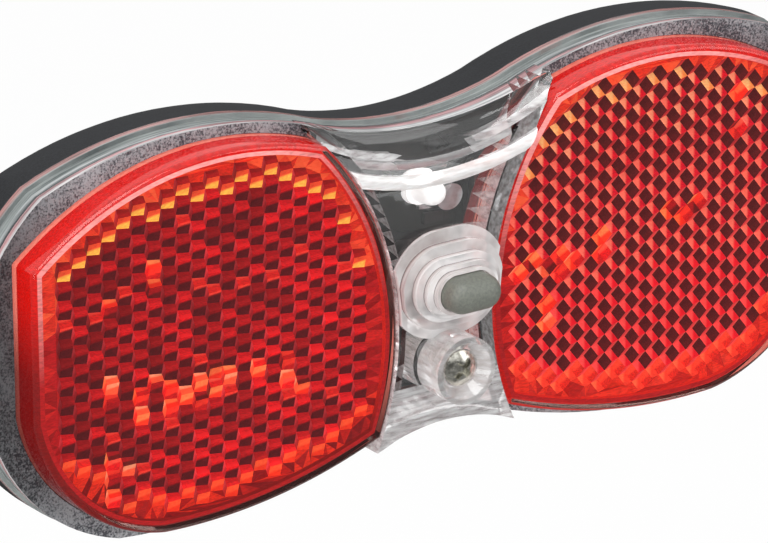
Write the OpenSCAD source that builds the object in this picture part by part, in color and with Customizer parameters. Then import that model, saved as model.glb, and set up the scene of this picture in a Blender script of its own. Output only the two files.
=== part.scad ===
// Battery rear light for a bicycle carrier: black back shell, clear cover,
// two red prism reflectors, oval push button and two carrier bolts.
// Everything is drawn with the front facing up: x along the lamp, y up its height,
// z forward from the back face. place() then turns the front to -Y.

/* [Outline] */
// half length of the lamp
end_x = 60; // [50:0.5:70]
// radius of the gently curved ends
end_r = 90; // [60:1:140]
// top of each lobe above the lens middle
lobe_top = 24; // [18:0.5:30]
// radius of the top curve of a lobe
lobe_top_r = 52; // [40:1:70]
// where the top of a lobe lies along the lamp
lobe_top_x = 32; // [26:0.5:38]
// bottom of each lobe below the lens middle
lobe_low = 24; // [18:0.5:30]
// radius of the bottom curve of a lobe
lobe_low_r = 71.6; // [50:0.2:90]
// where the bottom of a lobe lies along the lamp
lobe_low_x = 35; // [28:0.5:40]
// radius of the lower outer corner
corner_low_r = 23.8; // [20:0.1:28]
// radius of the upper outer corner
corner_top_r = 23.6; // [20:0.1:28]
// radius of the hollow between the lobes, top
waist_top_r = 45; // [30:1:60]
// radius of the hollow between the lobes, bottom
waist_low_r = 24; // [16:1:40]

/* [Shell] */
// rounding of the back edge
back_round = 10; // [6:0.5:10.5]
// wall of the back shell
shell_wall = 2.4; // [1.6:0.1:3]
// height of the joint between shell and cover
rim_h = 12; // [11:0.5:16]

/* [Cover] */
// wall of the cover skirt
skirt_wall = 1.6; // [1:0.1:2.4]
// thickness of the plate behind the reflectors
plate_t = 1.8; // [1.2:0.1:2.4]
// front wall of the centre nose
nose_wall = 1.5; // [1:0.1:2.4]
// radius of the lip line over the window
lip_r = 36; // [28:0.5:44]
// height of the lip line on the middle
lip_y = 13.2; // [10:0.1:15]
// thickness of the bead along the lip
lip_bead = 1.8; // [1:0.1:2.6]

/* [Reflectors] */
// how far the reflector faces stand above the frosted ledge
lens_out = 4.4; // [4:0.1:6]
// wall of a reflector cap
lens_wall = 1.5; // [1:0.1:2.2]
// rounding of the front edge of a cap
lens_round = 0.7; // [0.3:0.1:1.2]
// depth of the groove the cap stands in
foot_depth = 0.8; // [0.4:0.1:1.2]
// gap between a cap and the cover
cap_gap = 0.1; // [0.05:0.05:0.3]
// width of one hexagonal prism across its flats
prism_w = 2.3; // [1.8:0.1:4]
// plain border left round the prism field
prism_border = 1.5; // [1:0.1:3]

/* [Button] */
// half length of the oval button
button_a = 3.6; // [3:0.1:4.2]
// half height of the oval button
button_b = 2.1; // [1.6:0.1:2.5]
// how far the hole of the button stands above the reflector faces
hill_out = 4.4; // [3.8:0.1:5.4]
// how far the button stands out of its hole
button_out = 3.1; // [2.4:0.1:4]
// travel of the button
button_travel = 1.2; // [0.6:0.1:1.5]
// gap round the button
button_gap = 0.15; // [0.1:0.05:0.3]
// collar that keeps the button in
collar = 0.8; // [0.5:0.1:1]

/* [Cover screw] */
// how far the cup rim stands above the reflector faces
cup_out = 4.2; // [3:0.1:5]
// radius of the cup
cup_r = 4.1; // [3.4:0.1:5]
// radius of the screw head
screw_head_r = 2.15; // [1.8:0.05:2.6]
// radius of the screw shank
screw_r = 1.2; // [1:0.05:1.6]
// height of the screw middle
screw_y = -9.8; // [-12:0.1:-8]

/* [Carrier bolts] */
// distance between the two bolts
bolt_pitch = 80; // [50:1:80]
// radius of a bolt
bolt_r = 2.5; // [2:0.5:3]
// length of a bolt behind the back face
bolt_out = 12; // [8:1:20]
// height of the bolts below the lens middle
bolt_drop = 8; // [6:0.5:8]

/* [Inside] */
// radius of a cell
cell_r = 5.25; // [5:0.05:5.25]
// length of a cell with its nub
cell_len = 44.1; // [43:0.1:44.5]
// height of the cell axis above the back face
cell_h = 9.3; // [9:0.1:9.5]
// height of the cells above the lens middle
cell_y = 7.5; // [6:0.1:8]
// gap between a cell and the clear plate over it
cell_room = 0.25; // [0.1:0.05:0.6]
// thickness of the circuit board
board_t = 1.6; // [1:0.1:2]
// height of the board underside
board_h = 8; // [6:0.1:8.5]
// radius of the lamp body
led_r = 1.5; // [1.5:0.5:2.5]
// gap between the lamp tip and the clear nose
led_gap = 0.2; // [0.1:0.1:1.5]

/* [Hidden] */
$fn = 64;
fine = 160;
big = 80;
eps = 0.02;
// the hollows are set this much deeper than tangent so that the faces cross cleanly
crossing = 0.08;
wedge_foot = -5;
top_cy = lobe_top - lobe_top_r;
low_cy = lobe_low_r - lobe_low;
waist_top_cy = top_cy + sqrt(pow(lobe_top_r + waist_top_r, 2) - pow(lobe_top_x, 2)) - crossing;
waist_low_cy = low_cy - sqrt(pow(lobe_low_r + waist_low_r, 2) - pow(lobe_low_x, 2)) + crossing;
// how far each corner circle would reach past the end of the lamp
corner_low_past = 0.3;
corner_top_past = 1.6;
corner_low_x = end_x + corner_low_past - corner_low_r;
corner_low_y = -0.6;
corner_top_x = end_x + corner_top_past - corner_top_r;
corner_top_y = 1;
corner_side = 0.5;

// reflector outline, left one
lens_top_r = 40;
lens_top_x = -30.2;
lens_top_y = -17.65;
lens_low_r = 70;
lens_low_x = -35;
lens_low_y = 47.6;
lens_in_r = 36;
lens_in_x = -42.7;
lens_in_y = -4.5;
lens_end_x = -56;
lens_corner_r = 20.3;
lens_corner_x = -36;
lens_corner_y = -2.2;

// heights that follow from the cells: ledge, reflector faces, button hole and cup rim
ledge_h = cell_h + cell_r + cell_room + plate_t;
lens_h = ledge_h + lens_out;
button_base_h = lens_h + hill_out;
cup_h = lens_h + cup_out;

// contact clips: they stand in front of the inner end wall, at their upper rounded corner
clip_t = 0.4;
clip_w = 6;
clip_tall = 6.2;
clip_h = cell_h - clip_tall / 2 - 0.1;
clip_gap = 0.1;
coils = 3;
coil_r = 3;
coil_pitch = 0.4;
coil_taper = 0.15;
wire_r = 0.24;
stack_len = 1.4;
wall_in = back_round - sqrt(pow(back_round - shell_wall, 2) - pow(back_round - clip_h, 2));
clip_y = cell_y + clip_w / 2;
corner_wall_x = corner_top_x + sqrt(pow(corner_top_r - wall_in, 2) - pow(clip_y - corner_top_y, 2));
end_wall_x = end_x - end_r + sqrt(pow(end_r - wall_in, 2) - pow(clip_y, 2));
top_wall_x = lobe_top_x + sqrt(pow(lobe_top_r - wall_in, 2) - pow(clip_y - top_cy, 2));
contact_x = min(corner_wall_x, end_wall_x, top_wall_x) - clip_gap;
cell_out_x = contact_x - clip_t - stack_len;
cell_in_x = cell_out_x - cell_len;
nub_h = 0.8;
nub_r = 1.9;

// ribs and cradles of the shell that hold the cells and their contacts
rib_t = 0.8;
rib_w = 10;
rib_h = 9;
cradle_at = [0.28, 0.8];
cradle_t = 1.6;
cradle_w = 12;
cradle_h = 5;
cradle_gap = 0.15;

// board, switch and lamp in the middle
button_y = 0.2;
board_gap = 1.45;
board_x = cell_in_x - board_gap;
board_low = -5;
board_top = 15.2;
board_face = board_h + board_t;
board_screw_in = 2.3;
board_screw_x = board_x - board_screw_in;
board_screw_y = 12.9;
board_screw_r = 1;
board_head_r = 1.85;
post_x = board_x - 1.6;
fit_gap = 0.05;
switch_h = 3.4;
switch_w = 6;
cap_h = 0.6;
plunger_r = 1.6;
collar_in = 3.1;
collar_top = button_base_h - collar_in;
collar_t = 1.3;
stop_gap = 0.1;
led_top = lens_h - nose_wall - led_gap;
led_y = 10.5;
led_len = 5.3;
led_flange = 0.4;
lead_x = 1.27;
lead_w = 0.5;
part_x = board_x - 1.2;
post_r = 1.2;

// chip, resistor and capacitor on the board
chip = [3.2, 4.6, 1.4];
chip_lift = 0.1;
chip_y = 4.4;
leg = [0.8, 0.5, 0.6];
leg_in = 0.3;
leg_pitch = 1.15;
resistor_size = [3.2, 1.6, 0.55];
resistor_y = 4.2;
end_over = 0.05;
end_len = 0.55;
can_base = [4, 3.8, 0.6];
can_y = 8.4;
can_r = 1.8;
can_h = 4;

// carrier bolts and cover screw
bolt_head_t = 3.5;
bolt_flats = 8;
bolt_seat_h = 3.6;
bolt_boss = 2.5;
shoulder = 0.5;
chamfer = 0.6;
cup_deep = 2.3;
cup_wall = 1;
cup_cone = 1.2;
cup_seat_h = cup_h - cup_deep;
cup_foot_h = ledge_h - plate_t - 0.4;
screw_len = 13.4;
screw_post_r = 3.4;
hole_gap = 0.5;
head_gap = 0.2;

// skirt steps, nose and hill of the cover
skirt_foot = 1.1;
skirt_in = 0.5;
ledge_lip = 0.9;
ledge_in = 0.15;
plate_in = 1;
plate_join = 0.4;
nose_half = 17;
sweep_in = 6.7;
sweep_r = 5;
sweep_up = 0.4;
slope_in = 2.1;
slope_down = 1;
mouth_a = 0.6;
mouth_b = 0.5;
hill_steps = [[8, 6.6, 0.6], [7, 5.1, 1.6], [5.9, 3.9, 2.6], [5, 3.1, 3.5]];

// turns the front-up drawing so that the front faces -Y and the bolts lie on z = 0
module place() {
  translate([0, 0, bolt_drop]) rotate([90, 0, 0]) children();
}

// body of revolution round one outline circle, with the back edge rounded
module bulge(cx, cy, rr, g, h0, h1) {
  translate([cx, cy, 0]) rotate_extrude($fn = fine) intersection() {
    union() {
      square([rr - back_round, h1]);
      translate([0, back_round]) square([rr + g, h1 - back_round]);
      translate([rr - back_round, back_round]) circle(back_round + g);
    }
    translate([0, h0]) square([big * 3, h1 - h0]);
  }
}

// its opposite for a hollow in the outline: what is to be cut away
module scoop(cx, cy, rr, g, h0, h1) {
  translate([cx, cy, 0]) rotate_extrude($fn = fine) difference() {
    translate([0, h0 - 1]) square([rr + back_round, h1 - h0 + 2]);
    translate([rr - g, back_round]) square([back_round * 2, big]);
    translate([rr + back_round, back_round]) circle(back_round + g);
  }
}

// middle of the waist: its sides run through the centres of the lobe and waist curves,
// so every offset of the two curves meets on them
module wedge(lobe_x, lobe_cy, waist_cy) {
  foot_x = lobe_x * (waist_cy - wedge_foot) / (waist_cy - lobe_cy);
  polygon([[-foot_x, wedge_foot], [foot_x, wedge_foot], [0, waist_cy]]);
}

// one lobe of the lamp, grown outward by g, from h0 to h1
module lobe(g, h0, h1) {
  intersection() {
    bulge(-lobe_top_x, top_cy, lobe_top_r, g, h0, h1);
    bulge(-lobe_low_x, low_cy, lobe_low_r, g, h0, h1);
    bulge(end_r - end_x, 0, end_r, g, h0, h1);
    union() {
      bulge(-corner_low_x, corner_low_y, corner_low_r, g, h0, h1);
      intersection() {
        bulge(-corner_top_x, corner_top_y, corner_top_r, g, h0, h1);
        translate([-big, 0, h0]) cube([big, big, h1 - h0]);
      }
      translate([-corner_low_x - corner_side, -big / 2, h0]) cube([big, big, h1 - h0]);
    }
  }
}

// whole lamp body with the rounded back
module body(g, h0, h1) {
  lobe(g, h0, h1);
  mirror([1, 0, 0]) lobe(g, h0, h1);
  difference() {
    translate([0, 0, h0]) linear_extrude(h1 - h0) wedge(lobe_top_x, top_cy, waist_top_cy);
    scoop(0, waist_top_cy, waist_top_r, g, h0, h1);
  }
  difference() {
    translate([0, 0, h0]) linear_extrude(h1 - h0) wedge(lobe_low_x, low_cy, waist_low_cy);
    scoop(0, waist_low_cy, waist_low_r, g, h0, h1);
  }
}

// flat outline of one lobe, grown outward by g
module lobe_outline(g) {
  intersection() {
    translate([-lobe_top_x, top_cy]) circle(lobe_top_r + g, $fn = fine);
    translate([-lobe_low_x, low_cy]) circle(lobe_low_r + g, $fn = fine);
    translate([end_r - end_x, 0]) circle(end_r + g, $fn = fine);
    union() {
      translate([-corner_low_x, corner_low_y]) circle(corner_low_r + g, $fn = fine);
      intersection() {
        translate([-corner_top_x, corner_top_y]) circle(corner_top_r + g, $fn = fine);
        translate([-big, 0]) square(big);
      }
      translate([-corner_low_x - corner_side, -big / 2]) square(big);
    }
  }
}

// flat outline of the whole lamp
module outline(g) {
  lobe_outline(g);
  mirror([1, 0]) lobe_outline(g);
  difference() {
    wedge(lobe_top_x, top_cy, waist_top_cy);
    translate([0, waist_top_cy]) circle(waist_top_r - g, $fn = fine);
  }
  difference() {
    wedge(lobe_low_x, low_cy, waist_low_cy);
    translate([0, waist_low_cy]) circle(waist_low_r - g, $fn = fine);
  }
}

// ring of the outline between two offsets
module outline_ring(g_out, g_in, h0, h1) {
  translate([0, 0, h0]) linear_extrude(h1 - h0) difference() {
    outline(g_out);
    outline(g_in);
  }
}

// flat outline of the left reflector
module lens_outline(g) {
  intersection() {
    translate([lens_top_x, lens_top_y]) circle(lens_top_r + g, $fn = fine);
    translate([lens_low_x, lens_low_y]) circle(lens_low_r + g, $fn = fine);
    translate([lens_in_x, lens_in_y]) circle(lens_in_r + g, $fn = fine);
    translate([lens_end_x - g, -big / 2]) square(big);
    union() {
      translate([lens_corner_x, lens_corner_y]) circle(lens_corner_r + g, $fn = fine);
      translate([lens_corner_x, -big / 2]) square(big);
      translate([lens_corner_x - big, lens_corner_y]) square(big);
    }
  }
}

// body of revolution with a rounded front edge, for the reflector caps
module puck(cx, cy, rr, h0, h1) {
  translate([cx, cy, 0]) rotate_extrude($fn = fine) {
    translate([0, h0]) square([rr - lens_round, h1 - h0]);
    translate([0, h0]) square([rr, h1 - h0 - lens_round]);
    translate([rr - lens_round, h1 - lens_round]) circle(lens_round, $fn = 32);
  }
}

// the reflector cap as a solid block with its rounded front edge
module lens_block(h0, h1) {
  intersection() {
    puck(lens_top_x, lens_top_y, lens_top_r, h0, h1);
    puck(lens_low_x, lens_low_y, lens_low_r, h0, h1);
    puck(lens_in_x, lens_in_y, lens_in_r, h0, h1);
    translate([lens_end_x, -big / 2, h0]) cube([big, big, h1 - h0]);
    union() {
      puck(lens_corner_x, lens_corner_y, lens_corner_r, h0, h1);
      translate([lens_corner_x, -big / 2, h0]) cube([big, big, h1 - h0]);
      translate([lens_corner_x - big, lens_corner_y, h0]) cube([big, big, h1 - h0]);
    }
  }
}

// hexagonal prism field: cube corners on a hexagon lattice, whole cells only.
// Corners at 0, 120 and 240 degrees lie halfway between apex and valley.
prism_s = prism_w / sqrt(3);
prism_step = prism_s / sqrt(2);
prism_top = lens_h - lens_wall + 0.2;
valley_h = lens_h - lens_wall - 0.3;
mid_h = valley_h - prism_step;
apex_h = mid_h - prism_step;
field_x = -31.3;
field_y = 0.4;
cols = 13;
rows = 11;
nr = 2 * rows + 3;

function cell_x(i) = field_x + 1.5 * prism_s * i;
function odd(i) = i - 2 * floor(i / 2);
function cell_cy(i, j) = field_y + prism_w * (j + odd(i) / 2);
function apart(x, y, cx, cy) = sqrt(pow(x - cx, 2) + pow(y - cy, 2));
function in_corner(x, y, m) = x > lens_corner_x || y > lens_corner_y
  || apart(x, y, lens_corner_x, lens_corner_y) < lens_corner_r - m;
function in_lens(x, y, m) = x > lens_end_x + m
  && apart(x, y, lens_top_x, lens_top_y) < lens_top_r - m
  && apart(x, y, lens_low_x, lens_low_y) < lens_low_r - m
  && apart(x, y, lens_in_x, lens_in_y) < lens_in_r - m && in_corner(x, y, m);
function corners_in(x, y, k) = k > 5 ? true
  : in_lens(x + prism_s * cos(60 * k), y + prism_s * sin(60 * k), prism_border)
    && corners_in(x, y, k + 1);
function has(i, j) = abs(i) <= cols && abs(j) <= rows && corners_in(cell_x(i), cell_cy(i, j), 0);

// number of a lattice cell, and of the points it owns: 0 apex, 1 half-height corner,
// 2 valley corner, 3 and 4 the same two corners on the flat side
function cell_no(i, j) = (i + cols + 1) * nr + j + rows + 1;
function pt(i, j, k) = cell_no(i, j) * 5 + k;
function corner_a(i, j, k, t) = k == 0 ? pt(i, j, 1 + t)
  : k == 1 ? pt(i - 1, j + odd(i), 1 + t) : pt(i - 1, j - 1 + odd(i), 1 + t);
function corner_b(i, j, k, t) = k == 0 ? pt(i, j, 2 + t)
  : k == 1 ? pt(i - 1, j - 1 + odd(i), 2 + t) : pt(i, j - 1, 2 + t);
// the six corners in turn, at 0, 60, 120, 180, 240 and 300 degrees
function corner(i, j, k, t) = odd(k) == 0 ? corner_a(i, j, k / 2, t) : corner_b(i, j, (k - 1) / 2, t);
// whether the lattice holds a cell across side k, which runs from corner k to corner k + 1
function beside(i, j, k) = k == 0 ? has(i + 1, j + odd(i)) : k == 1 ? has(i, j + 1)
  : k == 2 ? has(i - 1, j + odd(i)) : k == 3 ? has(i - 1, j - 1 + odd(i))
  : k == 4 ? has(i, j - 1) : has(i + 1, j - 1 + odd(i));

module prism_field() {
  points = [for (i = [-cols - 1:cols + 1]) for (j = [-rows - 1:rows + 1]) for (k = [0:4]) [
    cell_x(i) + (k == 0 ? 0 : (k == 1 || k == 3) ? prism_s : prism_s / 2),
    cell_cy(i, j) + ((k == 2 || k == 4) ? prism_w / 2 : 0),
    k == 0 ? apex_h : k == 1 ? mid_h : k == 2 ? valley_h : prism_top]];
  cells = [for (i = [-cols:cols]) for (j = [-rows:rows]) if (has(i, j)) [i, j]];
  under = [for (c = cells) for (k = [0, 2, 4]) [pt(c[0], c[1], 0), corner(c[0], c[1], k, 0),
    corner(c[0], c[1], k + 1, 0), corner(c[0], c[1], (k + 2) % 6, 0)]];
  lid = [for (c = cells) [for (k = [5:-1:0]) corner(c[0], c[1], k, 2)]];
  sides = [for (c = cells) for (k = [0:5]) if (!beside(c[0], c[1], k)) [
    corner(c[0], c[1], k, 2), corner(c[0], c[1], (k + 1) % 6, 2),
    corner(c[0], c[1], (k + 1) % 6, 0), corner(c[0], c[1], k, 0)]];
  polyhedron(points, concat(under, lid, sides));
}

// red cap: face, wall and foot, with the prism field behind the face
module reflector() {
  foot_h = ledge_h - foot_depth;
  difference() {
    lens_block(foot_h, lens_h);
    translate([0, 0, foot_h - 1]) linear_extrude(lens_h - lens_wall - foot_h + 1)
      lens_outline(-lens_wall);
  }
  prism_field();
}

module reflector_left() color([0.75, 0.05, 0.06]) place() reflector();
module reflector_right() color([0.75, 0.05, 0.06]) place() mirror([1, 0, 0]) reflector();

// flat stadium shape with half length a and half height b
module oval(a, b) {
  square([2 * (a - b), 2 * b], center = true);
  for (s = [-1, 1]) translate([s * (a - b), 0]) circle(b);
}

// straight block with a stadium section
module oval_block(a, b, h0, h1) {
  translate([0, button_y, h0]) linear_extrude(h1 - h0) oval(a, b);
}

// what is taken off the top of the centre nose: a hollow sweep with a slope in front of it
module sweep_cut(inset) {
  cy = lip_y + lip_r;
  translate([0, cy, 0]) rotate_extrude($fn = fine) {
    translate([lip_r - sweep_in, ledge_h + sweep_r + sweep_up - inset]) circle(sweep_r + inset);
    translate([0, ledge_h - inset]) square([lip_r - sweep_in, big]);
    polygon([[lip_r - sweep_in - 0.3, lens_h - slope_down],
      [lip_r - slope_in + inset, lens_h - slope_down - inset],
      [lip_r + inset, lens_h - inset], [lip_r + inset, big], [lip_r - sweep_in - 0.3, big]]);
  }
}

// centre nose between the two reflectors, shrunk by inset for its inside
module nose(inset, h0) {
  difference() {
    translate([0, 0, h0]) linear_extrude(lens_h - inset - h0) difference() {
      intersection() {
        outline(-ledge_in - inset);
        square([2 * nose_half, big], center = true);
      }
      for (s = [-1, 1])
        translate([s * lens_in_x, lens_in_y]) circle(lens_in_r + cap_gap + eps + inset, $fn = fine);
    }
    sweep_cut(inset);
  }
}

// stepped oval hill round the button, and the rounded bead along the lip
module hill() {
  intersection() {
    union() {
      for (v = hill_steps) oval_block(v[0], v[1], lens_h - nose_wall, lens_h + v[2]);
      oval_block(button_a + mouth_a, button_b + mouth_b, lens_h - nose_wall, button_base_h);
    }
    translate([0, 0, ledge_h]) linear_extrude(big / 2) difference() {
      square([2 * button_a + 10, big], center = true);
      for (s = [-1, 1])
        translate([s * lens_in_x, lens_in_y]) circle(lens_in_r + cap_gap + 2 * eps, $fn = fine);
    }
  }
}

module lip() {
  intersection() {
    translate([0, lip_y + lip_r, lens_h - 0.35]) rotate_extrude($fn = fine)
      translate([lip_r + 0.3, 0]) circle(lip_bead / 2);
    translate([0, 0, ledge_h]) linear_extrude(big / 2) difference() {
      translate([-nose_half, 0]) square([2 * nose_half, big]);
      for (s = [-1, 1])
        translate([s * lens_in_x, lens_in_y]) circle(lens_in_r + cap_gap + 2 * eps, $fn = fine);
    }
  }
}

module front_cover() color([0.85, 0.88, 0.9, 0.35]) place() {
  plate_low = ledge_h - plate_t;
  in_g = -skirt_wall - ledge_in;
  difference() {
    union() {
      outline_ring(0, in_g, rim_h, rim_h + skirt_foot);
      outline_ring(-skirt_in, in_g, rim_h + skirt_foot - eps, ledge_h - ledge_lip);
      translate([0, 0, ledge_h - ledge_lip - eps]) linear_extrude(ledge_lip + eps) outline(-ledge_in);
      translate([0, 0, plate_low]) linear_extrude(plate_t - ledge_lip + plate_join) outline(-plate_in);
      nose(0, plate_low);
      hill();
      lip();
    }
    nose(nose_wall, plate_low - 1);
    for (s = [0, 1]) mirror([s, 0, 0])
      translate([0, 0, ledge_h - foot_depth - fit_gap]) linear_extrude(2) difference() {
        lens_outline(cap_gap);
        lens_outline(-lens_wall - cap_gap);
      }
    oval_block(button_a + button_gap, button_b + button_gap, plate_low, big / 2);
    oval_block(button_a + collar + 0.2, button_b + collar + 0.2, plate_low, collar_top + stop_gap);
    translate([0, screw_y, plate_low - 1]) cylinder(r = cup_r - cup_wall, h = cup_h - plate_low);
  }
  translate([0, screw_y, 0]) difference() {
    translate([0, 0, cup_foot_h]) cylinder(r = cup_r, h = cup_h - cup_foot_h);
    translate([0, 0, cup_foot_h - 1]) cylinder(r = screw_r + hole_gap, h = cup_h);
    translate([0, 0, cup_seat_h]) cylinder(r = screw_head_r + head_gap, h = cup_h);
    translate([0, 0, cup_h - cup_cone])
      cylinder(r1 = screw_head_r + head_gap, r2 = cup_r - cup_cone / 2, h = cup_cone + eps);
  }
}

// back shell with its bosses, posts and cell cradles
module rear_housing() color([0.19, 0.19, 0.2]) place() {
  floor_h = shell_wall - 0.1;
  difference() {
    union() {
      difference() {
        body(0, 0, rim_h);
        body(-shell_wall, shell_wall, rim_h + 1);
      }
      for (s = [-1, 1]) {
        translate([s * bolt_pitch / 2, -bolt_drop, floor_h])
          cylinder(r = bolt_flats / 2 + bolt_boss, h = bolt_seat_h + bolt_head_t - floor_h);
        translate([s * board_screw_x, board_screw_y, floor_h])
          cylinder(r = 2 * board_screw_r, h = board_h - floor_h);
        translate([s * post_x, board_low + 2, floor_h]) cylinder(r = post_r, h = board_h - floor_h);
        for (k = cradle_at) translate([s * (cell_in_x + k * cell_len) - cradle_t / 2,
          cell_y - cradle_w / 2, floor_h]) cell_cradle(floor_h);
        translate([s * (cell_in_x - clip_t - rib_t / 2) - rib_t / 2, cell_y - rib_w / 2, floor_h])
          cube([rib_t, rib_w, rib_h]);
        translate([s * (contact_x + fit_gap + rib_t / 2) - rib_t / 2, cell_y - rib_w / 2, floor_h])
          cube([rib_t, rib_w, rib_h]);
      }
      translate([0, screw_y, floor_h]) cylinder(r = screw_post_r, h = cup_foot_h - stop_gap - floor_h);
    }
    for (s = [-1, 1]) {
      translate([s * bolt_pitch / 2, -bolt_drop, -1])
        cylinder(r = bolt_r + shoulder + fit_gap, h = 2 * bolt_seat_h);
      translate([s * bolt_pitch / 2, -bolt_drop, bolt_seat_h])
        cylinder(r = (bolt_flats / 2 + 0.1) / cos(30), h = 2 * bolt_head_t, $fn = 6);
      translate([s * board_screw_x, board_screw_y, shell_wall + 0.6])
        cylinder(r = board_screw_r + fit_gap, h = board_h);
    }
    translate([0, screw_y, shell_wall + 1]) cylinder(r = screw_r + fit_gap, h = cup_foot_h);
  }
}

// rib across the shell with a round seat for a cell
module cell_cradle(floor_h) difference() {
  cube([cradle_t, cradle_w, cradle_h]);
  translate([-1, cradle_w / 2, cell_h - floor_h]) rotate([0, 90, 0])
    cylinder(r = cell_r + cradle_gap, h = cradle_t + 2);
}

// oval button with a fully rounded tip and the collar that holds it in
module switch_button() color([0.5, 0.53, 0.5]) place() {
  straight_top = button_base_h + button_out - button_b;
  half = button_a - button_b;
  oval_block(button_a, button_b, collar_top - collar_t, straight_top);
  translate([-half, button_y, straight_top]) rotate([0, 90, 0]) cylinder(r = button_b, h = 2 * half);
  for (s = [-1, 1]) translate([s * half, button_y, straight_top]) sphere(button_b);
  oval_block(button_a + collar, button_b + collar, collar_top - collar_t, collar_top);
}

module switch_plunger() color([0.9, 0.9, 0.88]) place() {
  low = board_face + switch_h + button_travel + stop_gap;
  translate([0, button_y, low]) cylinder(r = plunger_r, h = collar_top - collar_t - low);
  translate([0, button_y, collar_top - collar_t - 1]) cylinder(r = plunger_r + 0.6, h = 1);
}

module switch_body() color([0.12, 0.12, 0.13]) place() {
  translate([-switch_w / 2, button_y - switch_w / 2, board_face])
    cube([switch_w, switch_w, switch_h - cap_h]);
  translate([0, button_y, board_face + switch_h - cap_h - eps])
    cylinder(r = plunger_r + 0.15, h = cap_h + eps);
}

module circuit_board() color([0.08, 0.14, 0.1]) place() difference() {
  translate([-board_x, board_low, board_h]) cube([2 * board_x, board_top - board_low, board_t]);
  for (s = [-1, 1]) {
    translate([s * board_screw_x, board_screw_y, board_h - 1])
      cylinder(r = board_screw_r + 2 * fit_gap, h = 2 + board_t);
    translate([s * lead_x, led_y, board_h - 1]) cylinder(r = lead_w * 0.9, h = 2 + board_t);
  }
}

module led_lamp() color([0.92, 0.92, 0.9]) place() translate([0, led_y, led_top - led_len]) {
  cylinder(r = led_r + led_flange, h = 1);
  cylinder(r = led_r, h = led_len - led_r);
  translate([0, 0, led_len - led_r]) sphere(led_r);
}

module led_leads() color([0.8, 0.8, 0.82]) place() for (s = [-1, 1])
  translate([s * lead_x - lead_w / 2, led_y - lead_w / 2, board_h - 0.8])
    cube([lead_w, lead_w, led_top - led_len - board_h + 0.8]);

// eight-legged chip, its block 3.2 by 4.6 mm
module driver_chip() color([0.1, 0.1, 0.1]) place() translate([-part_x, chip_y, board_face]) {
  translate([0, 0, chip_lift]) cube(chip);
  for (k = [0:3]) for (x = [-leg[0], chip[0]]) translate([x, leg_in + leg_pitch * k, 0]) cube(leg);
}

module resistor() color([0.15, 0.15, 0.16]) place()
  translate([part_x - resistor_size[0], resistor_y, board_face]) {
    cube(resistor_size);
    for (x = [-end_over, resistor_size[0] + end_over - end_len]) translate([x, -end_over, 0])
      cube([end_len, resistor_size[1] + 2 * end_over, resistor_size[2] + 2 * end_over]);
  }

module capacitor() color([0.75, 0.76, 0.78]) place()
  translate([part_x - can_base[0] / 2, can_y, board_face]) {
    translate([-can_base[0] / 2, -can_base[1] / 2, 0]) cube(can_base);
    cylinder(r = can_r, h = can_h);
  }

// cell lying along the lamp with its nub toward the middle
module cell_shape() {
  translate([-cell_out_x, cell_y, cell_h]) rotate([0, 90, 0]) {
    cylinder(r = cell_r, h = cell_len - nub_h);
    cylinder(r = nub_r, h = cell_len);
  }
}

module battery_left() color([0.25, 0.27, 0.3]) place() cell_shape();
module battery_right() color([0.25, 0.27, 0.3]) place() mirror([1, 0, 0]) cell_shape();

// outer contact: clip plate with a stack of coils that get narrower toward the cell
module spring_shape() {
  translate([-contact_x, cell_y - clip_w / 2, clip_h]) cube([clip_t, clip_w, clip_tall]);
  for (k = [0:coils - 1])
    translate([-contact_x + clip_t + 0.75 * wire_r + coil_pitch * k, cell_y, cell_h]) rotate([0, 90, 0])
      rotate_extrude() translate([coil_r - coil_taper * k, 0]) circle(wire_r, $fn = 16);
}

// inner contact: clip plate that the nub of the cell touches
module plate_shape() {
  translate([-cell_in_x + fit_gap, cell_y - clip_w / 2, clip_h]) cube([clip_t - fit_gap, clip_w, clip_tall]);
}

module spring_contact_left() color([0.78, 0.78, 0.76]) place() spring_shape();
module spring_contact_right() color([0.78, 0.78, 0.76]) place() mirror([1, 0, 0]) spring_shape();
module plate_contact_left() color([0.78, 0.78, 0.76]) place() plate_shape();
module plate_contact_right() color([0.78, 0.78, 0.76]) place() mirror([1, 0, 0]) plate_shape();

// screw with a domed head and a cross recess
module cross_screw(head_r, shank_r, seat, tip, head_t) {
  dome_r = 1.7 * head_r;
  slot_l = 1.24 * head_r;
  slot_w = 0.34 * head_r;
  difference() {
    intersection() {
      translate([0, 0, seat]) cylinder(r = head_r, h = head_t);
      translate([0, 0, seat + head_t - dome_r]) sphere(dome_r);
    }
    for (a = [45, 135]) translate([0, 0, seat + 0.45 * head_t]) rotate([0, 0, a])
      translate([-slot_l / 2, -slot_w / 2, 0]) cube([slot_l, slot_w, head_t]);
  }
  translate([0, 0, tip]) cylinder(r = shank_r, h = seat - tip + 0.1);
}

module cover_screw() color([0.8, 0.8, 0.78]) place() translate([0, screw_y, 0])
  cross_screw(screw_head_r, screw_r, cup_seat_h, cup_seat_h - screw_len, 1.7);
module board_screw_left() color([0.7, 0.7, 0.7]) place()
  translate([-board_screw_x, board_screw_y, 0])
    cross_screw(board_head_r, board_screw_r, board_face, board_h - 4, 1.3);
module board_screw_right() color([0.7, 0.7, 0.7]) place()
  translate([board_screw_x, board_screw_y, 0])
    cross_screw(board_head_r, board_screw_r, board_face, board_h - 4, 1.3);

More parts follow.
